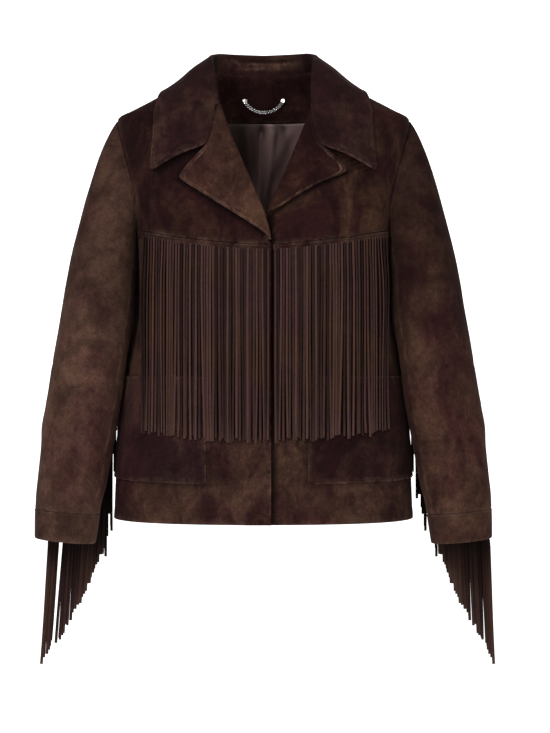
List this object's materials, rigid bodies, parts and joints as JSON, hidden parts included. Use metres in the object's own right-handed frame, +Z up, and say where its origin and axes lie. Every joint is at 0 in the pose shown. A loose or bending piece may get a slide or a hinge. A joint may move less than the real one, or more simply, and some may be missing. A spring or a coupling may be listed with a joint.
{
  "type": "fringed suede suit jacket",
  "caption": "Women's western-style suede jacket with a notched collar, yokes, chest and sleeve fringe and patch pockets, filled out as worn but hollow.",
  "frame": {"origin": "middle of the neck opening, level with the points where the shoulder seams meet the neck", "axes": "+Z up along the body, the front faces -Y, the wearer's left is +X"},
  "size_m": [0.6354, 0.2409, 0.8605],
  "materials": {
    "suede": "matte napped dark brown suede",
    "fringe_suede": "matte dark brown suede thongs",
    "lining_satin": "satin lining with a soft sheen",
    "chain_metal": "polished"
  },
  "bodies": {
    "root": {"back": "suede", "collar": "suede", "neck_facing": "suede", "back_lining": "lining_satin", "hanger_chain": "chain_metal", "front_right": "suede", "yoke_right": "suede", "lapel_right": "suede", "pocket_right": "suede", "front_fringe_right": "fringe_suede", "sleeve_top_right": "suede", "sleeve_under_right": "suede", "cuff_right": "suede", "sleeve_fringe_right": "fringe_suede", "rivet_right": "chain_metal", "front_left": "suede", "yoke_left": "suede", "lapel_left": "suede", "pocket_left": "suede", "front_fringe_left": "fringe_suede", "sleeve_top_left": "suede", "sleeve_under_left": "suede", "cuff_left": "suede", "sleeve_fringe_left": "fringe_suede", "rivet_left": "chain_metal"}
  },
  "joints": []
}
